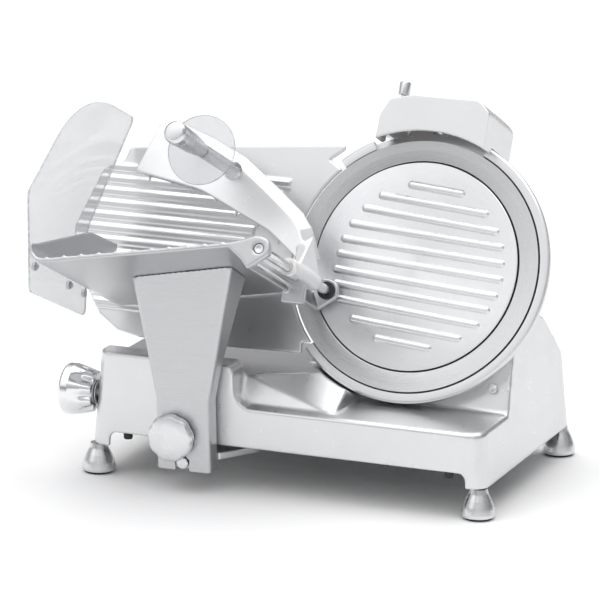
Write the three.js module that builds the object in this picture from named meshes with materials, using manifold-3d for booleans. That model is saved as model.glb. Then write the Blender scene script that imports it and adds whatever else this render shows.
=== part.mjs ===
// A gravity-feed deli meat slicer with a 300 mm blade.
// Millimetres. +X is the operator's right, +Y is away from the operator, +Z is up.
// The origin is on the ground, under the middle of the machine's overall outline at rest. The
// parts are laid out from the point midway between the four feet, which lies off that middle.
//
// The blade, the gauge plate, the tray and the pusher all lean back by the same angle. They are
// laid out in the "slope" group, whose origin is the centre of the blade's cutting edge:
// x runs along the carriage's stroke, y runs up the blade's face and z runs out of it.

import * as THREE from "three";
import { mergeVertices } from "three/addons/utils/BufferGeometryUtils.js";
import Module from "manifold-3d";

const wasm = await Module();
wasm.setup();

// ---------- driving dimensions ----------

const GAP = 0.3; // between pieces that touch
const FEET_MIDDLE = new THREE.Vector3(26, 64, 0);
const LEAN = THREE.MathUtils.degToRad(24); // of the blade's face, back from upright
const BLADE_CENTRE = new THREE.Vector3(111, -28, 259);
const BLADE_RADIUS = 150;
const RING = { outer: 163, rear: 156.5, inner: 151.2, front: -2, back: -27.7 };
const TOWER_FRONT = -28; // on the slope's z axis
const TOWER_BACK = -70;
const SLAB_RADIUS = 118;

const BASE = { left: -244, right: 250, front: -164, rear: 160, bottom: 36, rim: 102.5 };
const WALL = 5;
const DRAFT = { left: 0.08, right: 0.0875, rear: 0.06 };
const FRONT_ARCH = { left: -217, right: 225, top: 54 };
const BLOCK = { back: -128, top: 151, shelf: 134, shelfBack: 20 };
const FOOT_X = 237.7;
const FOOT_Y = 148.4;

const SLIDE_ROD = { y: -80, z: 78, radius: 9 };
const GUIDE_RAIL = { y: -20, z: 60, side: 12 };
const KNOB_AXIS = { y: -141, z: 95 }; // of the thickness knob
const BUTTONS = [{ name: "on_button", y: 40 }, { name: "off_button", y: 72 }]; // on the left end
const BUTTON_HEIGHT = 70;
const LATCH = { x: -111, z: 37 }; // the carriage's latch pin
const CARRIAGE_KNOB = { x: -122.5, z: 68 };

const TRAY = { front: 256, back: 6, wall: 4, tilt: THREE.MathUtils.degToRad(10.3) };
const TRAY_CORNER = { x: -374.7, y: -89.2 };
const WALL_LEAN = THREE.MathUtils.degToRad(2);
const ROD = { x: -97.5, y: -43, radius: 6 }; // the rod that the pusher slides and swings on
const ARM = { back: 68, front: 75 };
const HANDLE = { x: -215, y: 77 };

const GUIDE_PIN = { x: -292, y: -160, radius: 5 }; // the gauge carrier slides on it
const MOTOR = { x: 20, y: -95, radius: 45 };
const SHAFT_RADIUS = 12;
const BLADE_PULLEY_RADIUS = 36;
const MOTOR_PULLEY_RADIUS = 18;
const POST = { x: 0, z: -38, radius: 7 }; // the sharpener's post

// ---------- finishes ----------

const finish = (color, roughness, metalness) =>
  new THREE.MeshStandardMaterial({ color, roughness, metalness });
const CAST = finish(0xd2d3d5, 0.45, 0.6);
const BRUSHED = finish(0xc6c7c9, 0.35, 0.9);
const CHROME = finish(0xe8eaec, 0.08, 1);
const POLISHED = finish(0xdcdee0, 0.15, 1);
const STEEL = finish(0x9a9da1, 0.35, 1);
const RUBBER = finish(0x18181a, 0.85, 0);
const PLASTIC = finish(0x26272a, 0.5, 0);
const NYLON = finish(0xe6e4dc, 0.5, 0);
const CLEAR = finish(0xe8edf0, 0.08, 0);
const STONE = finish(0xc77f5a, 0.95, 0);
const GREEN = finish(0x1f8a4c, 0.4, 0);
const RED = finish(0xb3261e, 0.4, 0);

// ---------- solids ----------

function solidOf(geometry) {
  const plain = geometry.index ? geometry.toNonIndexed() : geometry.clone();
  plain.deleteAttribute("normal");
  plain.deleteAttribute("uv");
  const merged = mergeVertices(plain, 1e-3);
  const vertProperties = merged.attributes.position.array;
  const triVerts = new Uint32Array(merged.index.array);
  return new wasm.Manifold(new wasm.Mesh({ numProp: 3, vertProperties, triVerts }));
}

function geometryOf(body) {
  const mesh = body.getMesh();
  const geometry = new THREE.BufferGeometry();
  geometry.setAttribute("position", new THREE.BufferAttribute(mesh.vertProperties, 3));
  geometry.setIndex(new THREE.BufferAttribute(mesh.triVerts, 1));
  return geometry;
}

const join = (...parts) => geometryOf(parts.map(solidOf).reduce((a, b) => a.add(b)));
const cut = (...parts) => geometryOf(parts.map(solidOf).reduce((a, b) => a.subtract(b)));
const common = (...parts) => geometryOf(parts.map(solidOf).reduce((a, b) => a.intersect(b)));

// A closed outline through corners [x, y, radius], with each corner rounded to its radius.
function outline(corners, steps = 3) {
  const at = (i) => new THREE.Vector2(...corners[(i + corners.length) % corners.length]);
  return corners.flatMap(([, , radius], i) => {
    const here = at(i);
    if (!radius) return [here];
    const back = at(i - 1).sub(here).normalize();
    const ahead = at(i + 1).sub(here).normalize();
    const half = Math.acos(THREE.MathUtils.clamp(back.dot(ahead), -1, 1)) / 2;
    const inward = back.clone().add(ahead).normalize();
    const centre = here.clone().addScaledVector(inward, radius / Math.sin(half));
    const reach = radius / Math.tan(half);
    const first = here.clone().addScaledVector(back, reach).sub(centre);
    const last = here.clone().addScaledVector(ahead, reach).sub(centre);
    const sweep = Math.atan2(first.cross(last), first.dot(last));
    return Array.from({ length: steps + 1 }, (_, k) =>
      first.clone().rotateAround(new THREE.Vector2(), (sweep * k) / steps).add(centre),
    );
  });
}

// Points of a circular arc about (x, y), from one angle to another in degrees.
function arc(x, y, radius, from, to, steps) {
  return Array.from({ length: steps + 1 }, (_, k) => {
    const angle = THREE.MathUtils.degToRad(from + ((to - from) * k) / steps);
    return [x + radius * Math.cos(angle), y + radius * Math.sin(angle)];
  });
}

const rectangle = (x0, x1, y0, y1, radius = 0) => [
  [x0, y0, radius],
  [x1, y0, radius],
  [x1, y1, radius],
  [x0, y1, radius],
];

// A prism on an outline in X and Y, along Z.
function alongZ(corners, from, to, steps) {
  const shape = new THREE.Shape(outline(corners, steps));
  const settings = { depth: to - from, bevelEnabled: false };
  return new THREE.ExtrudeGeometry(shape, settings).translate(0, 0, from);
}

const axesTo = (x, y, z) =>
  new THREE.Matrix4().makeBasis(
    new THREE.Vector3(...x),
    new THREE.Vector3(...y),
    new THREE.Vector3(...z),
  );

// A prism on an outline in Y and Z, along X.
const alongX = (corners, from, to, steps) =>
  alongZ(corners, from, to, steps).applyMatrix4(axesTo([0, 1, 0], [0, 0, 1], [1, 0, 0]));

// A prism on an outline in X and Z, along Y.
const alongY = (corners, from, to, steps) =>
  alongZ(corners, -to, -from, steps).applyMatrix4(axesTo([1, 0, 0], [0, 0, 1], [0, -1, 0]));

const block = (x0, x1, y0, y1, z0, z1) => alongZ(rectangle(x0, x1, y0, y1), z0, z1);

// A solid of revolution about Z, from a profile of [radius, z].
function turned(profile, segments = 20) {
  const points = profile.map(([radius, z]) => new THREE.Vector2(radius, z));
  if (THREE.ShapeUtils.area(points) < 0) points.reverse();
  if (points[0].x > 0) points.push(points[0].clone());
  return new THREE.LatheGeometry(points, segments).rotateX(Math.PI / 2);
}

const disc = (radius, from, to, segments = 20) =>
  turned([[0, from], [radius, from], [radius, to], [0, to]], segments);

const tube = (inner, outer, from, to, segments = 20) =>
  turned([[inner, from], [outer, from], [outer, to], [inner, to]], segments);

// Turn a solid made along Z so that it lies along X or Y.
const ontoX = (geometry) => geometry.applyMatrix4(axesTo([0, 1, 0], [0, 0, 1], [1, 0, 0]));
const ontoY = (geometry) => geometry.applyMatrix4(axesTo([0, 0, 1], [1, 0, 0], [0, 1, 0]));

// A closed skin through rings of the same number of points, with a flat cap at each end. A ring
// goes round counterclockwise as seen from the rings after it.
function loft(rings) {
  const count = rings[0].length;
  const index = [];
  for (let level = 0; level < rings.length - 1; level += 1) {
    for (let i = 0; i < count; i += 1) {
      const a = level * count + i;
      const b = level * count + ((i + 1) % count);
      index.push(a, b, b + count, a, b + count, a + count);
    }
  }
  const last = (rings.length - 1) * count;
  for (let i = 1; i < count - 1; i += 1) {
    index.push(0, i + 1, i, last, last + i, last + i + 1);
  }
  const geometry = new THREE.BufferGeometry();
  const positions = rings.flat().flatMap((point) => [point.x, point.y, point.z]);
  geometry.setAttribute("position", new THREE.Float32BufferAttribute(positions, 3));
  geometry.setIndex(index);
  return geometry;
}

// One level of a loft: a rounded rectangle at height z.
const level = (x0, x1, y0, y1, radius, z) =>
  outline(rectangle(x0, x1, y0, y1, radius)).map((p) => new THREE.Vector3(p.x, p.y, z));

// ---------- the scene graph ----------

const machine = new THREE.Group();
machine.position.copy(FEET_MIDDLE);
const slope = new THREE.Group();
slope.position.copy(BLADE_CENTRE);
slope.rotation.x = Math.PI / 2 - LEAN;
machine.add(slope);

function place(parent, name, geometry, material) {
  const mesh = new THREE.Mesh(geometry, material);
  mesh.name = name;
  parent.add(mesh);
  return mesh;
}

// A solid drawn in the slope's frame, brought into the machine's frame.
function fromSlope(geometry) {
  slope.updateMatrix();
  return geometry.applyMatrix4(slope.matrix);
}

// ---------- base ----------

// The base's drafted plan, inset by a wall's thickness, at height z.
function plan(z, inset, shrink = 0) {
  const rise = z - BASE.bottom;
  const off = inset + shrink;
  return level(
    BASE.left + DRAFT.left * rise + off,
    BASE.right - DRAFT.right * rise - off,
    BASE.front + off,
    BASE.rear - DRAFT.rear * rise - off,
    20 - inset,
    z,
  );
}

const draftedColumn = (inset, bottom, top) => loft([plan(bottom, inset), plan(top, inset)]);

// The motor bulge behind the blade, in Y and Z.
const BULGE = [[-60, 95], [0, 221], [26.5, 209.5], [80, 186, 12], [145, 125, 16], [152, 95]];
const BULGE_HOLLOW = [[-40, 90], [15.4, 209], [77.3, 181.7, 9], [140.6, 122.5, 12], [147, 90]];

// The tower's slab behind the blade: straight sides under a round top.
function slabOutline(inset) {
  const radius = SLAB_RADIUS - inset;
  return [[-radius, -176], [136 - inset, -176], [128 - inset, -60], ...arc(0, 0, radius, 0, 180, 20)];
}

// The apron between the front block and the tower, cut at x, in Y and Z.
function apronSection(x, rimY, rimZ, middleZ) {
  const section = [[24, 95], [BLOCK.shelfBack, 134], [-70, middleZ], [rimY, rimZ],
    [-150, BASE.rim], [-150, 95]];
  return section.map(([y, z]) => new THREE.Vector3(y, z, x));
}

function baseOutside() {
  const rim = loft([plan(BASE.bottom, 0), plan(BASE.rim - 3, 0), plan(BASE.rim, 0, 3)]);
  const frontBlock = alongY(
    [[-250, 95], [-250, BLOCK.top, 3], [-63, BLOCK.top, 9], [-60, 108, 24], [-27, 95]],
    BASE.front,
    BLOCK.back,
  );
  const shelf = alongX(
    [[BLOCK.back - 1, 95], [BLOCK.back - 1, BLOCK.shelf], [BLOCK.shelfBack, BLOCK.shelf, 8],
      [BLOCK.shelfBack + 4, 95]],
    BASE.left,
    -40,
  );
  const apron = ontoX(loft([apronSection(-60, -130, 134, 134), apronSection(60, -85, 139, 137)]));
  const slab = fromSlope(alongZ(slabOutline(0), TOWER_BACK, TOWER_FRONT));
  const bulge = alongX(BULGE, BLADE_CENTRE.x - SLAB_RADIUS, BASE.right);
  const ringPocket = fromSlope(
    turned([[0, TOWER_FRONT + 0.05], [159, TOWER_FRONT + 0.05], [166, -7], [166, 70], [0, 70]], 48),
  );
  const front = cut(join(frontBlock, shelf, apron, rim), ringPocket);
  return common(join(front, slab, bulge), draftedColumn(0, BASE.bottom, 400));
}

function baseHollow() {
  const under = loft([plan(30, WALL), plan(BASE.rim - WALL, WALL)]);
  const frontBlock = alongY(
    [[-250, 90], [-250, BLOCK.top - WALL], [-69, BLOCK.top - WALL, 6], [-66, 104], [-50, 90]],
    BASE.front,
    BLOCK.back - WALL,
  );
  const shelf = block(BASE.left, -62, BLOCK.back - 6, 15, 90, BLOCK.shelf - WALL);
  const slab = fromSlope(
    alongZ(slabOutline(WALL), TOWER_BACK + WALL, TOWER_FRONT - WALL),
  );
  const bulge = alongX(BULGE_HOLLOW, BLADE_CENTRE.x - SLAB_RADIUS + WALL, BASE.right);
  return common(join(under, frontBlock, shelf, slab, bulge), draftedColumn(WALL, 20, 400));
}

function baseHousing() {
  const outside = baseOutside();
  const shell = cut(outside, baseHollow());

  const bosses = [
    ...[-1, 1].flatMap((x) =>
      [-1, 1].map((y) => disc(10, BASE.bottom, 100, 16).translate(x * FOOT_X, y * FOOT_Y, 0)),
    ),
    ...[-222, 238].flatMap((x) => [30, 129].map((y) => disc(6, 41.4, 100, 16).translate(x, y, 0))),
    fromSlope(block(GUIDE_PIN.x - 8, GUIDE_PIN.x + 8, -172, -120, 14, 20)),
    fromSlope(block(GUIDE_PIN.x - 8, GUIDE_PIN.x + 8, -172, -108, -57, -51)),
  ];
  const solid = common(join(shell, ...bosses), outside);

  const arch = alongY(
    [[FRONT_ARCH.left, 20], [FRONT_ARCH.right, 20], [FRONT_ARCH.right, FRONT_ARCH.top, 7],
      [FRONT_ARCH.left, FRONT_ARCH.top, 7]],
    BASE.front - 10,
    BASE.front + WALL + 3,
  );
  const carrierSlot = block(-204, -154, -86, -31.5, 127, 145);
  const guidePinHoles = fromSlope(
    disc(GUIDE_PIN.radius + GAP, -54, 17, 16).translate(GUIDE_PIN.x, GUIDE_PIN.y, 0),
  );
  const bearingHole = fromSlope(disc(20.3, TOWER_FRONT - 8, TOWER_FRONT + 4, 32));
  const tieRodHole = fromSlope(disc(4.6, TOWER_BACK - 3, TOWER_BACK + 8, 16));
  const knobHole = ontoX(disc(6.5, -250, -225, 16)).translate(0, KNOB_AXIS.y, KNOB_AXIS.z);
  const glandHole = ontoY(disc(6.3, 140, 170, 16)).translate(-200, 0, 70);
  const buttonHoles = BUTTONS.map(({ y }) =>
    ontoX(disc(9.6, -252, -230, 16)).translate(0, y, BUTTON_HEIGHT),
  );
  return cut(
    solid, arch, carrierSlot, guidePinHoles, bearingHole, tieRodHole, knobHole, glandHole,
    ...buttonHoles,
  );
}

function addBase() {
  place(machine, "base_housing", baseHousing(), CAST);
  const cover = alongZ(rectangle(-232, 239, 22, 137, 8), 38, 41, 3);
  place(machine, "bottom_cover", cover, STEEL);
  addFeet();
  addSlideway();
  addSwitches();

  const gland = cut(
    join(ontoY(disc(9.5, 158.9, 168, 24)), ontoY(disc(6, 148, 160, 24))),
    ontoY(disc(3.2, 140, 175, 16)),
  );
  place(machine, "cable_gland", gland.translate(-200, 0, 70), PLASTIC);

  for (const [name, x] of [["stud_left", -196], ["stud_right", 205]]) {
    const stud = turned([[0, 47], [4, 47], [5.5, 48.5], [5.5, 53.7], [0, 53.7]], 20);
    place(machine, name, stud.translate(x, BASE.front + 6, 0), RUBBER);
  }
}

function addFeet() {
  const bell = [
    [0, 3], [19.6, 3], [20.3, 7], [18.8, 14], [15.2, 22.5], [11.6, 30], [10.2, 35.7], [0, 35.7],
  ];
  for (const [row, y] of [["front", -FOOT_Y], ["rear", FOOT_Y]]) {
    for (const [side, x] of [["left", -FOOT_X], ["right", FOOT_X]]) {
      place(machine, `foot_${row}_${side}`, turned(bell, 20).translate(x, y, 0), CHROME);
      place(machine, `pad_${row}_${side}`, disc(17, 0, 2.7).translate(x, y, 0), RUBBER);
    }
  }
}

// The rod and rail that the carriage runs on, inside the base.
function addSlideway() {
  const { y, z, radius } = SLIDE_ROD;
  place(machine, "slide_rod", ontoX(disc(radius, -230, 236, 24)).translate(0, y, z), CHROME);
  for (const [name, x] of [["rod_bracket_left", -234], ["rod_bracket_right", 223]]) {
    const bracket = cut(
      block(x, x + 16, y - 16, y + 16, 60, 97.2),
      ontoX(disc(radius + GAP, x - 5, x + 21, 24)).translate(0, y, z),
    );
    place(machine, name, bracket, STEEL);
  }
  const half = GUIDE_RAIL.side / 2;
  const rail = block(
    -235, 241, GUIDE_RAIL.y - half, GUIDE_RAIL.y + half, GUIDE_RAIL.z - half, GUIDE_RAIL.z + half,
  );
  place(machine, "guide_rail", rail, STEEL);
}

// The on and off buttons lean in with the left end wall that carries them.
function addSwitches() {
  const endWall = new THREE.Group();
  const rise = BUTTON_HEIGHT - BASE.bottom;
  endWall.position.set(BASE.left + DRAFT.left * rise, 0, BUTTON_HEIGHT);
  endWall.rotation.y = Math.atan(DRAFT.left);
  machine.add(endWall);

  const plate = cut(
    alongX(rectangle(22, 90, -17, 17, 8), -2.8, -GAP, 3),
    ...BUTTONS.map(({ y }) => ontoX(disc(9.5, -6, 3, 20)).translate(0, y, 0)),
  );
  place(endWall, "switch_plate", plate, PLASTIC);
  for (const { name, y } of BUTTONS) {
    const button = turned([[0, -8], [8, -8], [9, -7], [9, 3], [0, 3]], 20);
    const colour = name === "on_button" ? GREEN : RED;
    place(endWall, name, ontoX(button).translate(0, y, 0), colour);
  }
}

// ---------- blade and drive ----------

function ringGuard() {
  const { outer, rear, inner, front, back } = RING;
  const section = [
    [40, back], [rear, back], [outer, -9], [outer, front - 1.5], [outer - 1.5, front],
    [inner + 1, front], [inner, front - 1], [inner, back + 4], [40, back + 4],
  ];
  const guard = turned(section, 60);
  const mouth = alongZ(
    [...arc(0, 0, 105, 223, 134, 10), ...arc(0, 0, 190, 134, 223, 10)],
    back - 5,
    front + 5,
  );
  const underSharpener = alongZ(
    [...arc(0, 0, 146, 118, 66, 6), ...arc(0, 0, 190, 66, 118, 6)],
    -14,
    front + 5,
  );
  return cut(guard, mouth, underSharpener);
}

function coverPlate() {
  const radius = 125.3;
  const ribs = [
    [-23, 45, 96, 91], [-57, 78, 80, 70], [-75, 94, 63, 50], [-88, 103, 43, 32],
    [-95, 107, 24, 13], [-98, 108, 6, -6], [-99, 105, -13, -26], [-97, 98, -30, -43],
    [-90, 88, -48, -62], [-69, 69, -70, -80], [-36, 34, -90, -95],
  ].map(([x0, x1, y0, y1]) => {
    const length = Math.hypot(x1 - x0, y1 - y0) / 2;
    const rib = alongZ(rectangle(-length, length, -3, 3, 2.9), -3, 1.3, 2);
    return rib.rotateZ(Math.atan2(y1 - y0, x1 - x0)).translate((x0 + x1) / 2, (y0 + y1) / 2, 0);
  });
  const plate = turned([[0, -7.5], [radius - 3.6, -7.5], [radius, -1.5], [0, -1.5]], 60);
  return join(plate, ...ribs);
}

// The belt: round both pulleys, with straight runs between them.
function driveBelt() {
  const span = Math.hypot(MOTOR.x, MOTOR.y);
  const loop = (extra) => {
    const big = BLADE_PULLEY_RADIUS + extra;
    const small = MOTOR_PULLEY_RADIUS + extra;
    const tangent = THREE.MathUtils.radToDeg(Math.acos((big - small) / span));
    return [
      ...arc(0, 0, big, tangent, 360 - tangent, 20),
      ...arc(span, 0, small, -tangent, tangent, 12),
    ];
  };
  const belt = cut(alongZ(loop(3), -58, -46), alongZ(loop(GAP), -60, -44));
  return belt.rotateZ(Math.atan2(MOTOR.y, MOTOR.x));
}

function addBlade() {
  const blade = [
    [22, -9], [122, -9], [126.1, -2.6], [BLADE_RADIUS, -0.3], [BLADE_RADIUS, -0.8],
    [128, -12], [22, -12],
  ];
  const shaft = [
    [4.5, -62], [4.5, -9.3], [21.6, -9.3], [21.6, -12 - GAP], [32, -12 - GAP], [32, -16],
    [16, -18], [SHAFT_RADIUS, -21], [SHAFT_RADIUS, -62],
  ];
  const pulley = [
    [12.3, -61], [20, -61], [20, -60], [BLADE_PULLEY_RADIUS, -60], [BLADE_PULLEY_RADIUS, -44],
    [12.3, -44],
  ];
  place(slope, "ring_guard", ringGuard(), CAST);
  place(slope, "blade", turned(blade, 60), POLISHED);
  place(slope, "cover_plate", coverPlate(), POLISHED);
  place(slope, "blade_shaft", turned(shaft), STEEL);
  place(slope, "blade_bearing", tube(SHAFT_RADIUS + GAP, 20, -40, -26), CHROME);
  const spindle = turned([[20.3, -43], [30, -43], [36, -33.3], [20.3, -33.3]]);
  place(slope, "spindle_housing", spindle, CAST);
  place(slope, "blade_pulley", turned(pulley), STEEL);
  place(slope, "cover_tie_rod", disc(4, -86, -7.8, 16), STEEL);
  const knob = [[4.3, -92], [13, -92], [16, -88], [16, -74], [12, -70.4], [4.3, -70.4]];
  place(slope, "cover_knob", turned(knob, 20), PLASTIC);
  const bolt = disc(6, RING.back, -22, 6).translate(110, -130, 0);
  place(slope, "ring_bolt", bolt, STEEL);
}

function addDrive() {
  const { x, y, radius } = MOTOR;
  const can = [
    [0, -166], [30, -166], [radius, -158], [radius, -76], [30, -70], [30, -64], [8, -64],
    [8, -75], [0, -75],
  ];
  const pulley = [[0, -73], [6, -73], [6, -60], [MOTOR_PULLEY_RADIUS, -60],
    [MOTOR_PULLEY_RADIUS, -44], [0, -44]];
  place(slope, "motor_body", turned(can).translate(x, y, 0), PLASTIC);
  place(slope, "motor_pulley", turned(pulley, 20).translate(x, y, 0), STEEL);
  place(slope, "drive_belt", driveBelt(), RUBBER);
}

// ---------- sharpener ----------

function sharpenerHousing() {
  const outside = [
    [-66, 128], [70, 128], [70, 184, 6], [64, 191, 5], [53, 199, 8], [-29, 198, 8],
    [-54, 191.5, 8], [-64, 172, 8],
  ];
  const inside = [[-62, 120], [66, 120], [66, 182, 4], [51, 195, 6], [-28, 194, 6], [-51, 188.5, 6],
    [-60, 171, 6]];
  const shell = cut(alongZ(outside, -75, 25), alongZ(inside, -71, 21));
  const socket = ontoY(tube(POST.radius + 0.4, POST.radius + 4, 168, 196, 20));
  return cut(
    join(shell, socket.translate(POST.x, 0, POST.z)),
    disc(157, -1, 40, 60),
    disc(164.5, -80, -1, 60),
    ontoY(disc(3.4, 180, 205, 12)).translate(-45, 0, 7),
    ontoY(disc(3.4, 180, 205, 12)).translate(25, 0, -30),
  );
}

// A push pin with its stem through the housing's roof, made along the slope's y axis.
const pushPin = (foot, top, radius) =>
  ontoY(turned([[0, 175.3], [3, 175.3], [3, foot], [radius, foot], [radius, top - 1],
    [radius - 1, top], [0, top]], 16));

const sharpeningStone = (x, z) =>
  ontoY(turned([[0, 168], [9, 168], [10, 170], [10, 175], [0, 175]], 24)).translate(x, 0, z);

function addSharpener() {
  const post = ontoY(disc(POST.radius, SLAB_RADIUS + GAP, 190, 20));
  place(slope, "sharpener_post", post.translate(POST.x, 0, POST.z), CHROME);
  place(slope, "sharpener_housing", sharpenerHousing(), CAST);
  place(slope, "grinding_pin", pushPin(200, 216, 7).translate(-45, 0, 7), CHROME);
  place(slope, "grinding_stone", sharpeningStone(-45, 7), STONE);
  place(slope, "honing_pin", pushPin(202.4, 208, 5).translate(25, 0, -30), CHROME);
  place(slope, "honing_stone", sharpeningStone(25, -30), STONE);
}

// ---------- gauge plate and thickness control ----------

// The gauge plate has long ribs on its face, each with a high crest and a low one.
function gaugePlate() {
  const corners = [
    [-438, 3, 20], [-381.7, -119.2, 81], [-204, -119.2], [-123, -117, 3],
    [-125, -104], ...arc(0, 0, 153.2, 222, 136, 14),
    [-127, 117], [-101, 137.6, 4], [-261, 122, 200], [-383, 109, 6], [-387, 92, 8], [-412, 80, 10],
  ];
  const plate = alongZ(corners, -8.3, -3);
  const ribs = Array.from({ length: 12 }, (_, row) => {
    const y = 89.5 - 15 * row;
    const section = [[y, -5], [y, -3], [y - 5, -0.4], [y - 10, -2.2], [y - 12.4, -1.2],
      [y - 13, -3], [y - 13, -5]];
    return alongX(section, -445, Math.max(-172 - 9 * row, -300));
  });
  return join(plate, common(join(...ribs), alongZ(corners, -6, 0)));
}

function gaugeCarrier() {
  const { x, y, radius } = GUIDE_PIN;
  const pad = block(x - 28, x + 28, -100, -20, -16, -8.3 - GAP);
  const web = block(x - 8, x + 15, -168, -60, -30, -8.3 - GAP);
  const boss = disc(10.5, -34, -8.6, 20).translate(x, y, 0);
  const tail = block(x + 9, x + 15, -176, -164, -30, 45);
  const finger = block(x + 9, x + 15, -186, -166, 27, 45);
  const bore = disc(radius + GAP, -60, 12, 16).translate(x, y, 0);
  return cut(join(pad, web, boss, tail, finger), bore);
}

function addGauge() {
  place(slope, "gauge_plate", gaugePlate(), CAST);
  place(slope, "gauge_carrier", gaugeCarrier(), STEEL);
  const pin = disc(GUIDE_PIN.radius, -53, 16, 12).translate(GUIDE_PIN.x, GUIDE_PIN.y, 0);
  place(slope, "gauge_guide_pin", pin, CHROME);
}

// The knob's flutes fade out towards its outer end.
function thicknessKnob() {
  const skirt = turned([[0, -282.5], [28, -282.5], [31, -279.5], [31, -271], [24, -242.9],
    [0, -242.9]], 32);
  const flutes = Array.from({ length: 8 }, (_, k) => {
    const angle = (k * Math.PI) / 4;
    const flute = turned([[0, -268], [9.5, -240], [0, -240]], 10);
    return flute.translate(30 * Math.cos(angle), 30 * Math.sin(angle), 0);
  });
  const socket = disc(6.3, -255, -240, 16);
  return cut(skirt, socket, ...flutes);
}

function addThicknessControl() {
  const control = new THREE.Group();
  control.position.set(0, KNOB_AXIS.y, KNOB_AXIS.z);
  machine.add(control);
  const shaft = [[0, -254.7], [6, -254.7], [6, -165.6], [17, -165.6], [17, -160], [0, -160]];
  place(control, "thickness_knob", ontoX(thicknessKnob()), CHROME);
  place(control, "thickness_shaft", ontoX(turned(shaft, 24)), STEEL);
  place(control, "knob_collar", ontoX(tube(6.6, 14, -242.6, -240.7, 24)), CHROME);
}

// ---------- carriage ----------

// A prism on an outline drawn on the tray's outer wall: first coordinate along the slope's z,
// second up the wall. It grows outwards from the wall's face.
const onWall = (corners, from, to, steps) =>
  alongZ(corners, from, to, steps)
    .applyMatrix4(axesTo([0, 0, 1], [0, 1, 0], [-1, 0, 0]))
    .rotateZ(WALL_LEAN)
    .translate(-375, -85, 0);

// The tray's section across the slope, its wall's free edge left long.
function traySection() {
  const { x, y } = TRAY_CORNER;
  const lean = [-Math.sin(WALL_LEAN), Math.cos(WALL_LEAN)];
  const top = 84;
  return [
    [-131, -44.7], [x, y, 18], [x + top * lean[0], y + top * lean[1]],
    [x + TRAY.wall + top * lean[0], y + top * lean[1]], [-371.2, -82.9, 13], [-131, -39.2],
  ];
}

function tray() {
  const { front, back } = TRAY;
  const sheet = alongZ(traySection(), back, front);
  const aboveWall = onWall(
    [[-20, 74], [88, 70, 60], [235, 24.5, 20], [262, 18.5], [262, 140], [-20, 140]], -40, 40,
  );
  const lip = [[-134, -45.2], [-116, -58, 12], [-108, -67], [-104, -66], [-110.5, -54, 8],
    [-114, -46, 3], [-134, -39.7]];
  const lug = [[-134, -45.2], [-116, -56, 12], [-107, -67, 2], [-84, -49, 4], [-83.5, -30, 12],
    [-104, -29, 12], [-121, -36, 8], [-134, -39.7]];
  const bore = disc(ROD.radius + GAP, 0, front + 5, 24).translate(ROD.x, ROD.y, 0);
  return cut(
    join(
      cut(sheet, aboveWall),
      alongZ(lip, back, front),
      alongZ(lug, front - 10, front),
      alongZ(lug, 8, 16),
      block(-112, -86, -79, -57, 110, 121),
    ),
    bore,
  );
}

// The column narrows to a knee, then flares out to carry the tray.
function column() {
  const body = loft([
    level(-144, -76, -196, -168, 6, 27),
    level(-146, -79, -196, -168, 6, 112),
    level(-154.9, -72.8, -196, -167, 6, 151),
    level(-191, -47, -196, -120, 6, 310),
  ]);
  const rise = Math.tan(TRAY.tilt);
  const underside = (x) => TRAY_CORNER.y + (x - TRAY_CORNER.x) * rise - GAP;
  const [left, right] = [-420, -60];
  const tray = alongZ(
    [[left, underside(left)], [right, underside(right)], [right, 90], [left, 90]],
    -100,
    330,
  );
  const { x, z } = LATCH;
  const notch = join(
    ontoY(disc(8.6, -200, -186, 24)).translate(x, 0, z),
    block(x - 8.6, x + 8.6, -200, -186, 20, z),
  );
  return cut(body, fromSlope(tray), notch);
}

function carriageFoot() {
  const plate = [[-144, -167.7], [-76, -167.7], [-46, -118, 6], [-46, -40, 6], [-144, -40]];
  const { y, z, radius } = SLIDE_ROD;
  return cut(
    join(alongZ(plate, 37, 46), block(-144, -60, y - 30, y + 40, 44, 95)),
    ontoX(disc(radius + GAP, -150, -50, 32)).translate(0, y, z),
  );
}

function slideShoe() {
  const half = GUIDE_RAIL.side / 2 + GAP;
  const { y, z } = GUIDE_RAIL;
  const body = block(-130, -90, -39.7, y + half + 3, z - half - 4, z + half + 4);
  return cut(body, block(-140, -80, y - half, y + half + 5, z - half, z + half));
}

function carriageKnob() {
  const lobes = Array.from({ length: 8 }, (_, k) => {
    const angle = (k * Math.PI) / 4;
    return disc(8.5, -212, -198, 8).translate(20 * Math.cos(angle), 20 * Math.sin(angle), 0);
  });
  const hub = turned([[0, -211.5], [22, -211.5], [22, -198], [15, -196.3], [0, -196.3]]);
  return ontoY(join(hub, ...lobes));
}

// The outline of the clear guard on the tray's outer wall.
const HAND_GUARD = [
  [275, 76, 12], [160, 226, 200], [1.5, 230, 3], [1.5, 223, 3], [91, 73, 14], [61, -27, 9],
  [232, -32, 9],
];

function addCarriage() {
  place(slope, "tray", tray(), BRUSHED);
  place(slope, "hand_guard", onWall(HAND_GUARD, GAP, GAP + 3, 6), CLEAR);
  place(slope, "pusher_rod", disc(ROD.radius, 10, 254, 24).translate(ROD.x, ROD.y, 0), CHROME);
  const bumper = tube(ROD.radius + GAP, 10.7, 16.3, 19, 24).translate(ROD.x, ROD.y, 0);
  place(slope, "rod_bumper", bumper, RUBBER);
  place(slope, "guide_bar", disc(2.2, 121.3, 245.7, 12).translate(-101, -60, 0), CHROME);
  place(machine, "column", column(), BRUSHED);
  place(machine, "carriage_foot", carriageFoot(), STEEL);
  place(machine, "slide_shoe", slideShoe(), NYLON);
  const latch = ontoY(disc(7.4, -197.6, -186.4, 24)).translate(LATCH.x, 0, LATCH.z);
  place(machine, "latch_pin", latch, CHROME);
  const knob = carriageKnob().translate(CARRIAGE_KNOB.x, 0, CARRIAGE_KNOB.z);
  place(machine, "carriage_knob", knob, CHROME);
}

// ---------- pusher ----------

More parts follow.
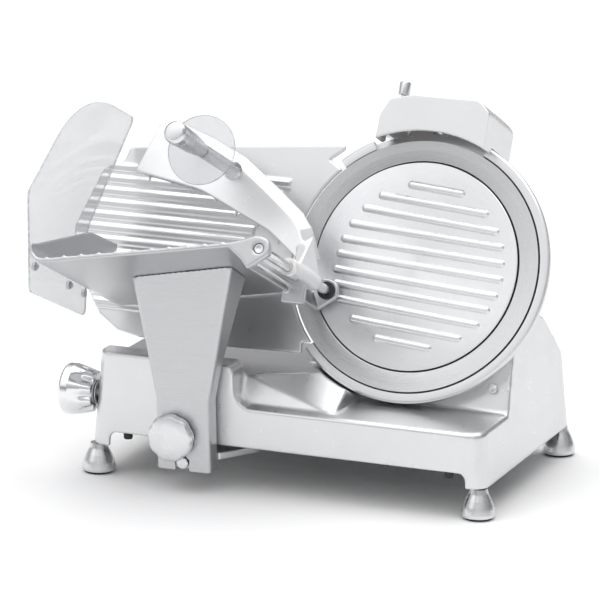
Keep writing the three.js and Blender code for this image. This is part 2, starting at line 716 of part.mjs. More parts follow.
// The arm's lower edge, from its free end to the hub, and its upper edge, back to the free end.
const ARM_EDGE = [[-339, 66], [-252, 51], [-160, 11.5], [-122, -16.5]];
const ARM_RIDGE = [
  [-96, -14], [-104, 6], [-112, 22], [-125, 38], [-168, 70], [-206, 97], [-250, 117], [-312, 138],
];

function edgeHeight(x) {
  const next = ARM_EDGE.findIndex(([edgeX]) => edgeX > x);
  const [x0, y0] = ARM_EDGE[next - 1];
  const [x1, y1] = ARM_EDGE[next];
  return y0 + ((y1 - y0) * (x - x0)) / (x1 - x0);
}

// The upper edge, moved in by a distance, at height z.
function ridgePoints(inset, z) {
  return ARM_RIDGE.map(([x, y], i) => {
    const [x0, y0] = ARM_RIDGE[Math.max(i - 1, 0)];
    const [x1, y1] = ARM_RIDGE[Math.min(i + 1, ARM_RIDGE.length - 1)];
    const inward = new THREE.Vector2(y0 - y1, x1 - x0).setLength(inset);
    return new THREE.Vector3(x + inward.x, y + inward.y, z);
  });
}

// The arm is a plate with its upper edge bent back in a slanting flange.
function pusherArm() {
  const plate = [
    [-339, 66, 4], [-252, 51, 90], [-160, 11.5, 60], [-122, -16.5, 20], [-107, -38],
    [ROD.x, ROD.y], [-87, -40], ...ridgePoints(12, 0).map((point) => [point.x, point.y]),
  ];
  const strips = [[12, ARM.front], [0, 60], [1, 56], [14, ARM.back]].map(([inset, z]) =>
    ridgePoints(inset, z),
  );
  const flange = loft(ARM_RIDGE.map((_, i) => strips.map((strip) => strip[i])));
  const ring = (corners, z) => corners.map(([x, y]) => new THREE.Vector3(x, y, z));
  const gusset = loft([
    ring([[-109, -38], [-87, -38], [-103, 10], [-121, -4]], ARM.front - 1),
    ring([[-104, -38], [-91, -38], [-96, -34], [-100, -34]], 120),
  ]);
  const bore = disc(8.3, 60, 160).translate(ROD.x, ROD.y, 0);
  return cut(
    join(
      alongZ(plate, ARM.back, ARM.front),
      flange,
      gusset,
      disc(11, ARM.back, 153).translate(ROD.x, ROD.y, 0),
    ),
    bore,
  );
}

function spikeStrip() {
  const xs = [-330, -252, -160, -134];
  const strip = [
    ...xs.map((x) => [x, edgeHeight(x) - 0.5]),
    ...xs.map((x) => [x + 4, edgeHeight(x) + 9]).reverse(),
  ];
  const teeth = Array.from({ length: 7 }, (_, k) => {
    const x = -322 + 29 * k;
    const y = edgeHeight(x);
    return alongZ([[x - 2, y + 2], [x - 0.4, y - 6], [x + 0.4, y - 6], [x + 2, y + 2]], -1, 1)
      .translate(0, 0, 65.8);
  });
  return join(alongZ(strip, 64, ARM.back - GAP), ...teeth);
}

function addPusher() {
  const bush = [[6.3, 66], [10.5, 66], [10.5, 67.7], [8, 67.7], [8, 153.3], [10.5, 153.3],
    [10.5, 155], [6.3, 155]];
  const grip = [
    [0, 75.3], [12, 75.3], [9.5, 80], [8.2, 90], [8.2, 185], [9.5, 192], [12, 222], [13, 255],
    [13.5, 257], [13.5, 270], [10.5, 274], [0, 275],
  ];
  place(slope, "pusher_bush", turned(bush, 16).translate(ROD.x, ROD.y, 0), NYLON);
  place(slope, "pusher_arm", pusherArm(), CAST);
  place(slope, "spike_strip", spikeStrip(), STEEL);
  place(slope, "pusher_handle", turned(grip, 20).translate(HANDLE.x, HANDLE.y, 0), CHROME);
  place(slope, "handle_disc", tube(8.5, 41.5, 181, 184, 32).translate(HANDLE.x, HANDLE.y, 0), CLEAR);
}

addBase();
addBlade();
addDrive();
addSharpener();
addGauge();
addThicknessControl();
addCarriage();
addPusher();

const slicer = new THREE.Group();
slicer.add(machine);
export default slicer;
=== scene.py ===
# The looks of a gravity-feed deli meat slicer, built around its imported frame.
# Shapes are drawn in millimetres in the same two local frames as the part: "level", whose origin is
# the point between the four feet, and "slope", whose origin is the centre of the blade's edge, with
# x along the carriage's stroke, y up the blade's face and z out of it.

import math

import bmesh
import bpy
from mathutils import Matrix, Vector


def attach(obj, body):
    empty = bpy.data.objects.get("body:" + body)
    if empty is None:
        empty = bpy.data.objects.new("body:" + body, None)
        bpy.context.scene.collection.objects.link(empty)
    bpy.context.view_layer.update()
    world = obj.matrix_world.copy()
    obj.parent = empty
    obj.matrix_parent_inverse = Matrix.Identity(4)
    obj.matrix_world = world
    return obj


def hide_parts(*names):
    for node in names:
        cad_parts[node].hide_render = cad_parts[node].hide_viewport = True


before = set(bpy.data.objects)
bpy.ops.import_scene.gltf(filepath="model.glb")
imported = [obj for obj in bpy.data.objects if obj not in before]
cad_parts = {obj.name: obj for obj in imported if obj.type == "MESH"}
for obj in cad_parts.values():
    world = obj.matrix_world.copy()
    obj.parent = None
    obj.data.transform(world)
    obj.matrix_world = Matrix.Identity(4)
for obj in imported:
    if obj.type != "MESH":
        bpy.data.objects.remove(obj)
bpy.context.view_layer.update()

# ---------- driving dimensions, in millimetres ----------

MM = 0.001
FEET_MIDDLE = Vector((26, 64, 0))
BLADE_CENTRE = FEET_MIDDLE + Vector((111, -28, 259))
LEAN = math.radians(24)
WALL_LEAN = math.radians(2)
WALL_FOOT = Vector((-375, -85, 0))

COVER_RADIUS = 125.3
RING = {"outer": 163, "rear": 156.5, "inner": 150.6, "front": -2, "back": -27.7}
FOOT_X = 237.7
FOOT_Y = 148.4
STUD_X = {"left": -196, "right": 205}
STUD_Y = -158
RING_BOLT = {"x": 110, "y": -130}
GLAND = {"x": -200, "z": 70}
END_WALL = {"x": -244, "foot": 36, "draft": 0.08}
SWITCH_HEIGHT = 70
# The node, its place along the switch plate, its colour and its body.
BUTTONS = (("on_button", 40, "green", "on_switch"), ("off_button", 72, "red", "off_switch"))
BUTTON_HOLE = 9.5
PINS = {
    "grinding": {"x": -45, "z": 7, "foot": 200, "top": 216, "radius": 7},
    "honing": {"x": 25, "z": -30, "foot": 202.4, "top": 208, "radius": 5},
}
ROD = {"x": -97.5, "y": -43}
HANDLE = {"x": -215, "y": 77}
KNOB_AXIS = {"y": -141, "z": 95}
TRAY = {"front": 256, "back": 6, "floor": ((-371.2, -82.9), (-131, -39.2))}
TRAY_BEADS = {"first": -352, "pitch": 21, "count": 11, "radius": 3.2, "sunk": 1.5}
LATCH = {"x": -111, "z": 37}
CARRIAGE_KNOB = {"x": -122.5, "z": 68}

# Angles in radians, the distance and the target in metres, the lens in millimetres.
CAMERA = {
    "azimuth": math.radians(21.0876),
    "elevation": math.radians(13.7924),
    "roll": math.radians(0.9045),
    "distance": 5.35562,
    "target": (FEET_MIDDLE + Vector((-42.83, 0, 195.67))) * MM,
    "lens": 270,
}


def basis(x, y, z):
    """The turn that takes the X, Y and Z axes to three given directions."""
    return Matrix((x, y, z)).transposed().to_4x4()


LEVEL = Matrix.Translation(FEET_MIDDLE * MM)
SLOPE = Matrix.Translation(BLADE_CENTRE * MM) @ Matrix.Rotation(math.pi / 2 - LEAN, 4, "X")
TO_X = basis((0, 1, 0), (0, 0, 1), (1, 0, 0))
TO_Y = basis((0, 0, 1), (1, 0, 0), (0, 1, 0))
WALL = (
    SLOPE
    @ Matrix.Translation(WALL_FOOT * MM)
    @ Matrix.Rotation(WALL_LEAN, 4, "Z")
    @ basis((0, 0, 1), (0, 1, 0), (-1, 0, 0))
)


def at(place, x=0, y=0, z=0):
    """A place moved by x, y and z along its own axes."""
    return place @ Matrix.Translation(Vector((x, y, z)) * MM)


# ---------- nodes ----------


def arithmetic(tree, operation, first, second):
    """A Math node's result. Each operand is a socket or a number."""
    result = tree.nodes.new("ShaderNodeMath")
    result.operation = operation
    for socket, operand in zip(result.inputs, (first, second)):
        if isinstance(operand, (int, float)):
            socket.default_value = operand
        else:
            tree.links.new(operand, socket)
    return result.outputs[0]


def remap(tree, source, before, after):
    """A value whose range goes from one (low, high) to another."""
    spread = tree.nodes.new("ShaderNodeMapRange")
    for socket, limit in zip(("From Min", "From Max", "To Min", "To Max"), (*before, *after)):
        spread.inputs[socket].default_value = limit
    tree.links.new(source, spread.inputs["Value"])
    return spread.outputs["Result"]


# ---------- camera, light and floor ----------


def make_camera():
    azimuth, elevation = CAMERA["azimuth"], CAMERA["elevation"]
    view = Vector((
        -math.sin(azimuth) * math.cos(elevation),
        math.cos(azimuth) * math.cos(elevation),
        -math.sin(elevation),
    ))
    right = Vector((math.cos(azimuth), math.sin(azimuth), 0))
    turn = basis(right, right.cross(view), -view)
    data = bpy.data.cameras.new("camera")
    data.lens = CAMERA["lens"]
    camera = bpy.data.objects.new("camera", data)
    place = Matrix.Translation(CAMERA["target"] - view * CAMERA["distance"])
    camera.matrix_world = place @ turn @ Matrix.Rotation(CAMERA["roll"], 4, "Z")
    bpy.context.scene.collection.objects.link(camera)
    bpy.context.scene.camera = camera


def make_softbox(name, position, aim, width, height, watts):
    data = bpy.data.lights.new(name, "AREA")
    data.shape = "RECTANGLE"
    data.size = width
    data.size_y = height
    data.energy = watts
    light = bpy.data.objects.new(name, data)
    light.location = position
    light.rotation_euler = (Vector(aim) - Vector(position)).to_track_quat("-Z", "Y").to_euler()
    bpy.context.scene.collection.objects.link(light)


BRIGHT_SIDE = (-0.45, -0.85, 0.25)
SIDE_LIGHT = (0.45, 1.25)
PATCH_LIGHT = (0.7, 1.2)
PATCH_SCALE = 2.2
# The sky's brightness by height, from the horizon to straight up.
SKY = ((0.0, 0.95), (0.07, 0.8), (0.18, 0.42), (0.5, 0.6), (0.72, 1.15), (1.0, 1.7))
# Name, position, aim, width and height in metres, and power in watts.
SOFTBOXES = (
    ("key", (-2.4, -3.0, 2.6), (0, 0, 0.15), 3.6, 2.4, 9),
    ("overhead", (0.2, 0.6, 3.4), (0, 0.1, 0.1), 4.5, 3.5, 46),
)
FLOOR_HALF = 30


def sky_colour(tree, direction):
    """White overhead and grey lower down, very slightly blue."""
    split = tree.nodes.new("ShaderNodeSeparateXYZ")
    tree.links.new(direction, split.inputs[0])
    height = tree.nodes.new("ShaderNodeValToRGB")
    height.color_ramp.interpolation = "EASE"
    for position, _ in SKY[1:-1]:
        height.color_ramp.elements.new(position)
    for element, (position, level) in zip(height.color_ramp.elements, SKY):
        element.position = position
        element.color = (level, level, 1.01 * level, 1)
    tree.links.new(split.outputs["Z"], height.inputs[0])
    return height.outputs[0]


def sky_strength(world, direction):
    """Brighter in front and to the left, and softly uneven."""
    tree = world.node_tree
    facing = tree.nodes.new("ShaderNodeVectorMath")
    facing.operation = "DOT_PRODUCT"
    facing.inputs[1].default_value = BRIGHT_SIDE
    tree.links.new(direction, facing.inputs[0])
    side = remap(tree, facing.outputs["Value"], (-1, 1), SIDE_LIGHT)
    clouds = noise(world, PATCH_SCALE, detail=1.0, place=direction)
    return arithmetic(tree, "MULTIPLY", side, remap(tree, clouds, NOISE_MIDDLE, PATCH_LIGHT))


def make_studio():
    """A pale room round the object, and two softboxes."""
    scene = bpy.context.scene
    scene.view_settings.view_transform = "Standard"
    world = bpy.data.worlds.new("studio")
    world.use_nodes = True
    tree = world.node_tree
    background = tree.nodes["Background"]
    direction = tree.nodes.new("ShaderNodeTexCoord").outputs["Generated"]
    tree.links.new(sky_colour(tree, direction), background.inputs["Color"])
    tree.links.new(sky_strength(world, direction), background.inputs["Strength"])
    scene.world = world
    for softbox in SOFTBOXES:
        make_softbox(*softbox)


def make_floor():
    mesh = bpy.data.meshes.new("floor")
    half = FLOOR_HALF
    corners = [(-half, -half, 0), (half, -half, 0), (half, half, 0), (-half, half, 0)]
    mesh.from_pydata(corners, [], [(0, 1, 2, 3)])
    floor = bpy.data.objects.new("floor", mesh)
    bpy.context.scene.collection.objects.link(floor)
    finish = new_finish("pale_floor", (0.97, 0.97, 0.97), 0.75)
    tone(finish, noise(finish, 1.5), (0.96, 0.96, 0.96), (0.98, 0.98, 0.98))
    floor.data.materials.append(finish)


# ---------- finishes ----------

NOISE_MIDDLE = (0.35, 0.65)
NOISE_WIDE = (0.3, 0.7)
ALONG_X = (40, 2400, 2400)


def new_finish(name, colour, roughness, metallic=0.0, **sockets):
    material = bpy.data.materials.new(name)
    material.use_nodes = True
    shader = material.node_tree.nodes["Principled BSDF"]
    shader.inputs["Base Color"].default_value = (*colour, 1)
    shader.inputs["Roughness"].default_value = roughness
    shader.inputs["Metallic"].default_value = metallic
    for socket, value in sockets.items():
        shader.inputs[socket.replace("_", " ")].default_value = value
    return material


def scaled_place(material, stretch):
    """The piece's own coordinates, in metres, stretched along each axis."""
    nodes, links = material.node_tree.nodes, material.node_tree.links
    mapping = nodes.new("ShaderNodeMapping")
    mapping.inputs["Scale"].default_value = stretch
    links.new(nodes.new("ShaderNodeTexCoord").outputs["Object"], mapping.inputs["Vector"])
    return mapping.outputs["Vector"]


def round_place(material, across, around):
    """Coordinates that run round the piece's Z axis: its radius and angle, each stretched."""
    tree = material.node_tree
    split = tree.nodes.new("ShaderNodeSeparateXYZ")
    tree.links.new(tree.nodes.new("ShaderNodeTexCoord").outputs["Object"], split.inputs[0])
    x, y = split.outputs["X"], split.outputs["Y"]
    flat = tree.nodes.new("ShaderNodeCombineXYZ")
    tree.links.new(x, flat.inputs["X"])
    tree.links.new(y, flat.inputs["Y"])
    length = tree.nodes.new("ShaderNodeVectorMath")
    length.operation = "LENGTH"
    tree.links.new(flat.outputs[0], length.inputs[0])
    radius = arithmetic(tree, "MULTIPLY", length.outputs["Value"], across)
    angle = arithmetic(tree, "MULTIPLY", arithmetic(tree, "ARCTAN2", y, x), around)
    together = tree.nodes.new("ShaderNodeCombineXYZ")
    tree.links.new(radius, together.inputs["X"])
    tree.links.new(angle, together.inputs["Y"])
    return together.outputs[0]


def noise(material, scale, stretch=(1, 1, 1), detail=2.0, place=None):
    """Noise of a material or world, on the piece's coordinates unless it is given a place."""
    nodes, links = material.node_tree.nodes, material.node_tree.links
    texture = nodes.new("ShaderNodeTexNoise")
    texture.inputs["Scale"].default_value = scale
    texture.inputs["Detail"].default_value = detail
    links.new(place or scaled_place(material, stretch), texture.inputs["Vector"])
    return texture.outputs["Fac"]


def shade(colour, share):
    return tuple(share * part for part in colour)


def tone(material, source, low, high, between=NOISE_MIDDLE):
    """Base colour that drifts between two colours."""
    tree = material.node_tree
    colours = tree.nodes.new("ShaderNodeValToRGB")
    for element, position, colour in zip(colours.color_ramp.elements, between, (low, high)):
        element.position = position
        element.color = (*colour, 1)
    tree.links.new(source, colours.inputs["Fac"])
    shader = tree.nodes["Principled BSDF"]
    tree.links.new(colours.outputs["Color"], shader.inputs["Base Color"])


def gloss(material, source, low, high):
    """Roughness that drifts between two values."""
    tree = material.node_tree
    roughness = remap(tree, source, NOISE_WIDE, (low, high))
    tree.links.new(roughness, tree.nodes["Principled BSDF"].inputs["Roughness"])


def relief(material, *layers):
    """Bump from one or more (height, depth in millimetres) layers."""
    nodes, links = material.node_tree.nodes, material.node_tree.links
    normal = None
    for height, depth in layers:
        bump = nodes.new("ShaderNodeBump")
        bump.inputs["Strength"].default_value = 1.0
        bump.inputs["Distance"].default_value = depth * MM
        links.new(height, bump.inputs["Height"])
        if normal:
            links.new(normal, bump.inputs["Normal"])
        normal = bump.outputs["Normal"]
    links.new(normal, nodes["Principled BSDF"].inputs["Normal"])


def satin_casting(name, colour):
    """A fine-blasted and anodised casting: soft sheen, faint peel and slow changes of tone."""
    finish = new_finish(name, colour, 0.3, 0.85)
    tone(finish, noise(finish, 7, detail=4), shade(colour, 0.96), colour)
    gloss(finish, noise(finish, 60, detail=5), 0.27, 0.33)
    relief(finish, (noise(finish, 650, detail=3), 0.015), (noise(finish, 45, detail=2), 0.015))
    return finish


def brushed(name, colour):
    """Metal brushed along x: long fine scratches that catch the light."""
    finish = new_finish(name, colour, 0.34, 0.92)
    scratches = noise(finish, 1.0, ALONG_X, detail=6)
    tone(finish, scratches, shade(colour, 0.93), colour, NOISE_WIDE)
    gloss(finish, noise(finish, 1.3, ALONG_X, detail=6), 0.26, 0.44)
    relief(finish, (noise(finish, 2.4, ALONG_X, detail=5), 0.035))
    return finish


def turned_steel(name, colour, roughness, depth):
    """Steel finished on a lathe: fine rings round the piece's axis, with faint wiping marks."""
    finish = new_finish(name, colour, roughness, 1.0, Anisotropic=0.55)
    tree = finish.node_tree
    tangent = tree.nodes.new("ShaderNodeTangent")
    tangent.direction_type = "RADIAL"
    tangent.axis = "Z"
    tree.links.new(tangent.outputs[0], tree.nodes["Principled BSDF"].inputs["Tangent"])
    rings = noise(finish, 1.0, detail=4, place=round_place(finish, 2600, 5))
    tone(finish, noise(finish, 9, detail=4), shade(colour, 0.95), colour)
    gloss(finish, rings, 0.75 * roughness, 1.35 * roughness)
    relief(finish, (rings, depth))
    return finish


def mirror(name, colour, roughness):
    """Chrome plate: a clean mirror with faint handling smudges."""
    finish = new_finish(name, colour, roughness, 1.0)
    tone(finish, noise(finish, 12, detail=3), shade(colour, 0.96), colour)
    gloss(finish, noise(finish, 35, detail=6), roughness, 2.4 * roughness)
    relief(finish, (noise(finish, 90, detail=2), 0.01))
    return finish


def moulded(name, colour, roughness, grain, depth):
    """A moulded or rubber skin: fine grain over a slightly uneven colour."""
    finish = new_finish(name, colour, roughness)
    tone(finish, noise(finish, 60, detail=4), shade(colour, 0.85), colour)
    gloss(finish, noise(finish, 140, detail=3), 0.85 * roughness, min(1.0, 1.15 * roughness))
    relief(finish, (noise(finish, grain, detail=2), depth))
    return finish


def clear_sheet():
    """Clear acrylic: mostly seen through, with faint wiping haze."""
    finish = new_finish("clear_sheet", (0.54, 0.56, 0.58), 0.06, Alpha=0.3, IOR=1.49)
    gloss(finish, noise(finish, 14, (1, 1, 4), detail=6), 0.03, 0.16)
    tone(finish, noise(finish, 10, detail=4), (0.50, 0.52, 0.54), (0.58, 0.60, 0.62))
    return finish


def sheet_edge_painted_shade():
    """The sawn edge of the acrylic, painted grey and half opaque as painted shade for the dark look
    that refraction gives it.
    """
    # Grey, half-opaque colour: painted shade standing in for the edges' refraction.
    finish = new_finish("sheet_edge_painted_shade", (0.42, 0.44, 0.46), 0.25, Alpha=0.75, IOR=1.49)
    tone(finish, noise(finish, 220, detail=3), (0.34, 0.36, 0.38), (0.56, 0.58, 0.60))
    gloss(finish, noise(finish, 300, detail=3), 0.18, 0.4)
    return finish


def grit():
    """A bonded grinding stone: coarse open grain."""
    finish = new_finish("grit", (0.72, 0.45, 0.32), 0.9)
    tone(finish, noise(finish, 1800, detail=3), (0.55, 0.32, 0.22), (0.82, 0.58, 0.44))
    relief(finish, (noise(finish, 2200, detail=3), 0.25))
    return finish


FINISHES = {
    "casting": satin_casting("satin_casting", (0.71, 0.715, 0.72)),
    "pale_casting": satin_casting("pale_casting", (0.90, 0.905, 0.91)),
    "brushed": brushed("brushed", (0.58, 0.585, 0.595)),
    "blade": turned_steel("blade_steel", (0.60, 0.605, 0.61), 0.3, 0.012),
    "cover": turned_steel("cover_steel", (0.79, 0.795, 0.805), 0.34, 0.02),
    "turned": turned_steel("turned_steel", (0.62, 0.63, 0.65), 0.3, 0.02),
    "chrome": mirror("chrome", (0.82, 0.825, 0.835), 0.07),
    "satin_chrome": mirror("satin_chrome", (0.74, 0.745, 0.755), 0.16),
    "steel": brushed("steel", (0.55, 0.56, 0.58)),
    "rubber": moulded("rubber", (0.03, 0.03, 0.034), 0.8, 900, 0.06),
    "plastic": moulded("plastic", (0.05, 0.05, 0.055), 0.45, 1200, 0.04),
    "nylon": moulded("nylon", (0.86, 0.85, 0.82), 0.4, 900, 0.02),
    "green": moulded("green", (0.05, 0.42, 0.16), 0.3, 900, 0.02),
    "red": moulded("red", (0.62, 0.05, 0.04), 0.3, 900, 0.02),
    "grit": grit(),
    "clear": clear_sheet(),
    "edge": sheet_edge_painted_shade(),
}


# ---------- outlines ----------


def rounded(corners, steps=8, closed=True):
    """Points of an outline through (x, y) or (x, y, radius) corners, each rounded by its radius."""
    points = []
    count = len(corners)
    for index, corner in enumerate(corners):
        here = Vector(corner[:2])
        is_end = not closed and index in (0, count - 1)
        if len(corner) < 3 or not corner[2] or is_end:
            points.append(here)
            continue
        back = (Vector(corners[index - 1][:2]) - here).normalized()
        ahead = (Vector(corners[(index + 1) % count][:2]) - here).normalized()
        half = back.angle(ahead) / 2
        centre = here + (back + ahead).normalized() * corner[2] / math.sin(half)
        reach = corner[2] / math.tan(half)
        first = here + back * reach - centre
        last = here + ahead * reach - centre
        sweep = math.atan2(first.x * last.y - first.y * last.x, first.dot(last))
        for step in range(steps + 1):
            turn = Matrix.Rotation(sweep * step / steps, 2)
            points.append(centre + turn @ first)
    return points


def arc(radius, start, end, steps, x=0, y=0):
    """Points on a circle about (x, y), between two angles in degrees."""
    angles = [math.radians(start + (end - start) * step / steps) for step in range(steps + 1)]
    return [(x + radius * math.cos(angle), y + radius * math.sin(angle)) for angle in angles]


def rectangle(x0, x1, y0, y1, radius=0):
    return [(x0, y0, radius), (x1, y0, radius), (x1, y1, radius), (x0, y1, radius)]


# ---------- meshes, drawn in millimetres ----------


def mesh_from(points, faces):
    form = bmesh.new()
    vertices = [form.verts.new(point) for point in points]
    for face in faces:
        form.faces.new([vertices[index] for index in face])
    bmesh.ops.recalc_face_normals(form, faces=form.faces)
    return form


def prism(corners, low, high, steps=8):
    """A solid with one outline in x and y, from one height to another."""
    outline = rounded(corners, steps)
    count = len(outline)
    points = [(p.x, p.y, z) for z in (low, high) for p in outline]
    faces = [tuple(reversed(range(count))), tuple(range(count, 2 * count))]
    for index in range(count):
        after = (index + 1) % count
        faces.append((index, after, count + after, count + index))
    return mesh_from(points, faces)


def revolve(profile, segments=96, wave=None, steps=6):
    """A solid of revolution about z from (radius, z, rounding) points.

    wave(angle, radius, z) gives the radius at an angle, for flutes and lobes. A profile that starts
    off the axis is closed on itself, and makes a ring."""
    is_ring = profile[0][0] > 0
    outline = rounded(profile, steps, closed=is_ring)
    points, rings = [], []
    for p in outline:
        if p.x < 1e-6:
            rings.append([len(points)] * segments)
            points.append((0, 0, p.y))
            continue
        rings.append(list(range(len(points), len(points) + segments)))
        for step in range(segments):
            angle = 2 * math.pi * step / segments
            radius = wave(angle, p.x, p.y) if wave else p.x
            points.append((radius * math.cos(angle), radius * math.sin(angle), p.y))
    faces = []
    pairs = list(zip(rings, rings[1:])) + ([(rings[-1], rings[0])] if is_ring else [])
    for here, there in pairs:
        for step in range(segments):
            after = (step + 1) % segments
            face = list(dict.fromkeys((here[step], here[after], there[after], there[step])))
            if len(face) > 2:
                faces.append(face)
    return mesh_from(points, faces)


def bar(x0, y0, x1, y1, profile):
    """A long bead from one point to another: round ends, and a cross-section of (half width, z)."""
    heading = math.degrees(math.atan2(y1 - y0, x1 - x0))
    points = []
    for width, z in profile:
        near_end = arc(width, heading + 90, heading + 270, 8, x0, y0)
        far_end = arc(width, heading - 90, heading + 90, 8, x1, y1)
        points += [(x, y, z) for x, y in near_end + far_end]
    count = len(points) // len(profile)
    faces = [tuple(reversed(range(count))), tuple(range(len(points) - count, len(points)))]
    for level in range(len(profile) - 1):
        for index in range(count):
            after = (index + 1) % count
            here = level * count
            faces.append((here + index, here + after, here + count + after, here + count + index))
    return mesh_from(points, faces)


# ---------- pieces ----------


def new_object(name, form, place):
    """A mesh drawn in millimetres becomes an object in metres at its place."""
    form.transform(Matrix.Scale(MM, 4))
    mesh = bpy.data.meshes.new(name)
    form.to_mesh(mesh)
    form.free()
    piece = bpy.data.objects.new(name, mesh)
    piece.matrix_world = place
    bpy.context.scene.collection.objects.link(piece)
    return piece


def copy_of(node, place):
    """A new object with a CAD node's shape, with its own origin at the given place."""
    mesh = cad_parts[node].data.copy()
    mesh.materials.clear()
    mesh.transform(place.inverted())
    piece = bpy.data.objects.new(node + "_skin", mesh)
    piece.matrix_world = place
    bpy.context.scene.collection.objects.link(piece)
    form = bmesh.new()
    form.from_mesh(mesh)
    bmesh.ops.remove_doubles(form, verts=form.verts, dist=1e-6)
    form.to_mesh(mesh)
    form.free()
    return piece


def square_up(piece):
    """Turns a piece's own axes to the level ones without moving its surface."""
    piece.data.transform(LEVEL.inverted() @ piece.matrix_world)
    piece.matrix_world = LEVEL


def settle(piece):
    """Makes a piece's modifiers part of its mesh."""
    bpy.context.view_layer.update()
    graph = bpy.context.evaluated_depsgraph_get()
    mesh = bpy.data.meshes.new_from_object(piece.evaluated_get(graph))
    piece.modifiers.clear()
    piece.data = mesh


def combine(piece, operation, forms):
    """Joins forms to a piece, or cuts them out of it. They are drawn in the piece's own frame."""
    tool_form = bmesh.new()
    for form in forms:
        mesh = bpy.data.meshes.new("tool")
        form.to_mesh(mesh)
        form.free()
        tool_form.from_mesh(mesh)
        bpy.data.meshes.remove(mesh)
    tool = new_object("tool", tool_form, piece.matrix_world.copy())
    modifier = piece.modifiers.new("combine", "BOOLEAN")
    modifier.operation = operation
    modifier.solver = "EXACT"
    modifier.use_self = operation == "UNION"
    modifier.object = tool
    settle(piece)
    bpy.data.objects.remove(tool)
    return piece


def carve(piece, *forms):
    return combine(piece, "DIFFERENCE", forms)


def fuse(piece, *forms):
    return combine(piece, "UNION", forms)


def soften(piece, voxel, passes):
    """Gives every edge the soft radius of a casting."""
    remesh = piece.modifiers.new("remesh", "REMESH")
    remesh.mode = "VOXEL"
    remesh.voxel_size = voxel * MM * 1
    smooth = piece.modifiers.new("soften", "SMOOTH")
    smooth.factor = 0.5
    smooth.iterations = passes
    settle(piece)
    return piece


def bevel(piece, width, segments=3, angle=30):
    """Rounds a piece's edges that turn by more than an angle, in degrees."""
    modifier = piece.modifiers.new("bevel", "BEVEL")
    modifier.width = width * MM
    modifier.segments = segments
    modifier.limit_method = "ANGLE"
    modifier.angle_limit = math.radians(angle)
    modifier.harden_normals = True
    return piece


def dress(piece, finish, body, replaced=(), sharp=40):
    """Finishes a new piece: its material, its smooth shading, and what it stands for."""
    piece.data.materials.clear()
    piece.data.materials.append(FINISHES[finish])
    piece.data.shade_smooth()
    piece.data.set_sharp_from_angle(angle=math.radians(sharp))
    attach(piece, body)
    if replaced:
        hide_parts(*replaced)
    return piece


def refinish(node, finish, width=0.0):
    """A CAD node whose shape is right: it keeps its mesh and gets a finish and softer edges."""
    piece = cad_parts[node]
    piece.data.materials.clear()
    piece.data.materials.append(FINISHES[finish])
    piece.data.shade_smooth()
    piece.data.set_sharp_from_angle(angle=math.radians(35))
    if width:
        bevel(piece, width, 2, 38)


def cap_screw(name, radius, height, place, body):
    """A socket-head screw: a chamfered round head with a hexagon sunk in it."""
    socket = 0.5 * radius

    def hexagon(angle, at_radius, z):
        if at_radius > socket + 0.01:
            return at_radius
        return at_radius * math.cos(math.pi / 6) / math.cos((angle % (math.pi / 3)) - math.pi / 6)

    profile = [
        (0, 0), (radius, 0), (radius, height, 0.18 * radius), (socket, height),
        (socket, 0.45 * height), (0, 0.4 * height),
    ]
    piece = new_object(name, revolve(profile, 48, hexagon, 3), place)
    return dress(piece, "turned", body)


# ---------- base ----------


def make_base():
    """The main casting, and what is fixed to it."""
    casting = soften(copy_of("base_housing", LEVEL), 2.1, 4)
    dress(casting, "casting", "base", ["base_housing"], 60)
    refinish("bottom_cover", "steel", 0.6)
    for row, y in (("front", -FOOT_Y), ("rear", FOOT_Y)):
        for side, x in (("left", -FOOT_X), ("right", FOOT_X)):
            make_foot(f"{row}_{side}", x, y)
    refinish("slide_rod", "chrome")
    for side in ("left", "right"):
        refinish(f"rod_bracket_{side}", "steel", 0.6)
        make_stud(side)
    refinish("guide_rail", "steel", 0.5)
    make_gland()
    make_switches()


def make_foot(corner, x, y):
    """A chromed bell foot on a rubber pad with a rounded rim."""
    bell = [
        (0, 3), (19.4, 3, 0.6), (20.2, 6.8, 3), (18.8, 14, 30), (15.2, 22.5, 40), (11.6, 30, 14),
        (10.1, 35.6), (0, 35.6),
    ]
    foot = new_object(f"bell_{corner}", revolve(bell, 96), at(LEVEL, x, y))
    dress(foot, "satin_chrome", "base", [f"foot_{corner}"])
    pad = [(0, 0), (16.4, 0, 1.0), (17, 1.6, 0.6), (16.6, 2.7), (12, 2.7), (11.6, 2.2), (0, 2.2)]
    rubber = new_object(f"rubber_{corner}", revolve(pad, 96, steps=4), at(LEVEL, x, y))
    dress(rubber, "rubber", "base", [f"pad_{corner}"])


def make_stud(side):
    profile = [(0, 47), (4.6, 47, 0.8), (5.4, 49.2, 0.8), (5.4, 53.7), (0, 53.7)]
    place = at(LEVEL, STUD_X[side], STUD_Y)
    stud = new_object(f"bump_{side}", revolve(profile, 48), place)
    dress(stud, "rubber", "base", [f"stud_{side}"])


def make_gland():
    """A strain-relief gland in the rear wall."""

    def ribs(angle, radius, z):
        """Fourteen grooves half a millimetre deep, on the wide part only."""
        if radius <= 8.5:
            return radius
        return radius - 0.5 * max(0.0, math.cos(14 * angle))

    profile = [
        (3.3, 148.2), (5.9, 148.2), (5.9, 158.9), (9.4, 158.9, 0.5), (9.4, 165.5, 1), (7, 168, 1),
        (4.2, 168, 0.6), (3.3, 166.5),
    ]
    place = at(LEVEL, GLAND["x"], 0, GLAND["z"]) @ TO_Y
    gland = new_object("gland", revolve(profile, 112, ribs), place)
    dress(gland, "plastic", "base", ["cable_gland"])


